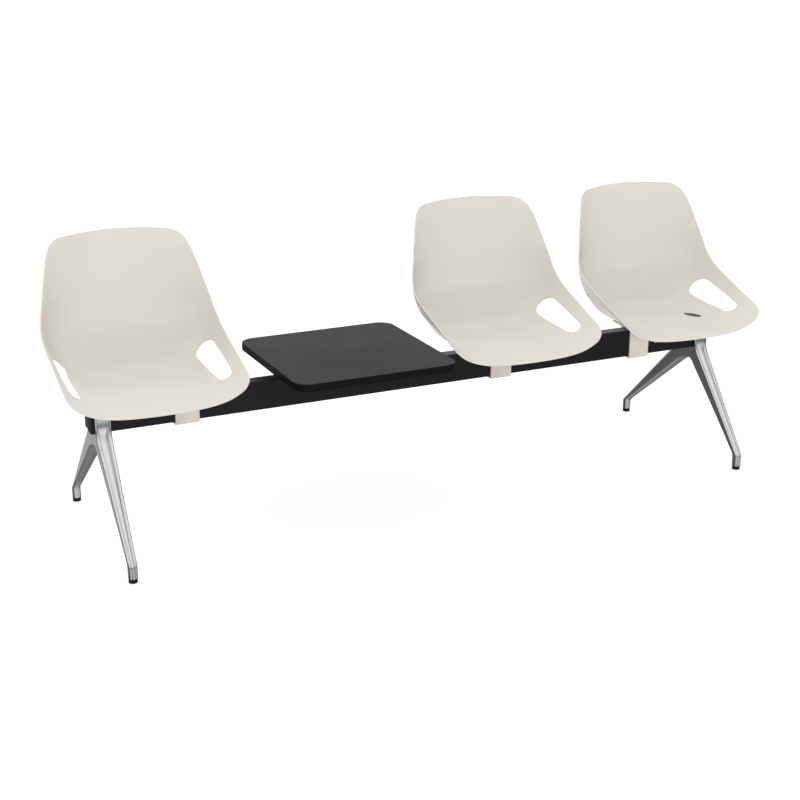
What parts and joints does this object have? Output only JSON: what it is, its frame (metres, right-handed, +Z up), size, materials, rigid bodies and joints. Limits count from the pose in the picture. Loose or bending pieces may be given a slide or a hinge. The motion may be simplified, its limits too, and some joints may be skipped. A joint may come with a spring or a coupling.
{
  "type": "beam seating",
  "caption": "Beam seating: one-piece shell seats and a small square table on a black steel beam, carried by polished splayed cast legs with levelling glides.",
  "frame": {"origin": "middle of the footprint on the floor, under the beam", "axes": "+X along the beam to the right as seen from the front, +Y to the back (sitters face -Y), +Z up"},
  "size_m": [2.1294, 0.63, 0.8115],
  "materials": {
    "shell_plastic": "injection-moulded polypropylene, fine satin grain, warm ivory",
    "beige_steel": "smooth satin powder coat in the shell colour",
    "black_steel": "fine-textured black powder coat",
    "black_plastic": "moulded black plastic, satin",
    "black_gloss": "glossy black plastic plug",
    "polished_alu": "die-cast aluminium, polished",
    "table_laminate": "black compact board, fine matt texture",
    "black_rubber": "matt rubber sheet",
    "zinc_steel": "zinc-plated steel"
  },
  "bodies": {
    "frame": {"beam_end_cap_left": "black_plastic", "beam_end_cap_right": "black_plastic", "beam_strap_left": "beige_steel", "beam_strap_middle": "beige_steel", "beam_strap_right": "beige_steel", "beam_tube": "black_steel", "carrier_screws_left": "zinc_steel", "carrier_screws_middle": "zinc_steel", "carrier_screws_right": "zinc_steel", "drain_plug_right": "black_gloss", "leg_bolts_left": "zinc_steel", "leg_bolts_right": "zinc_steel", "leg_casting_left": "polished_alu", "leg_casting_right": "polished_alu", "leg_clamp_left": "black_steel", "leg_clamp_right": "black_steel", "leg_nuts_left": "zinc_steel", "leg_nuts_right": "zinc_steel", "pinch_plate_left": "beige_steel", "pinch_plate_middle": "beige_steel", "pinch_plate_right": "beige_steel", "pinch_screws_left": "zinc_steel", "pinch_screws_middle": "zinc_steel", "pinch_screws_right": "zinc_steel", "seat_carrier_left": "beige_steel", "seat_carrier_middle": "beige_steel", "seat_carrier_right": "beige_steel", "seat_shell_left": "shell_plastic", "seat_shell_middle": "shell_plastic", "seat_shell_right": "shell_plastic", "strap_pad_left": "black_rubber", "strap_pad_middle": "black_rubber", "strap_pad_right": "black_rubber", "table_foot_screws": "zinc_steel", "table_riser": "black_steel", "table_screws": "zinc_steel", "table_top": "table_laminate"},
    "glide_left_front": {"glide_pad_left_front": "black_plastic", "glide_stud_left_front": "zinc_steel"},
    "glide_left_rear": {"glide_pad_left_rear": "black_plastic", "glide_stud_left_rear": "zinc_steel"},
    "glide_right_front": {"glide_pad_right_front": "black_plastic", "glide_stud_right_front": "zinc_steel"},
    "glide_right_rear": {"glide_pad_right_rear": "black_plastic", "glide_stud_right_rear": "zinc_steel"}
  },
  "joints": [
    {"name": "glide_left_front_height", "type": "slide", "parent": "frame", "child": "glide_left_front", "axis": [0, 0, -1], "range_m": [0, 0.008]},
    {"name": "glide_left_rear_height", "type": "slide", "parent": "frame", "child": "glide_left_rear", "axis": [0, 0, -1], "range_m": [0, 0.008]},
    {"name": "glide_right_front_height", "type": "slide", "parent": "frame", "child": "glide_right_front", "axis": [0, 0, -1], "range_m": [0, 0.008]},
    {"name": "glide_right_rear_height", "type": "slide", "parent": "frame", "child": "glide_right_rear", "axis": [0, 0, -1], "range_m": [0, 0.008]}
  ]
}
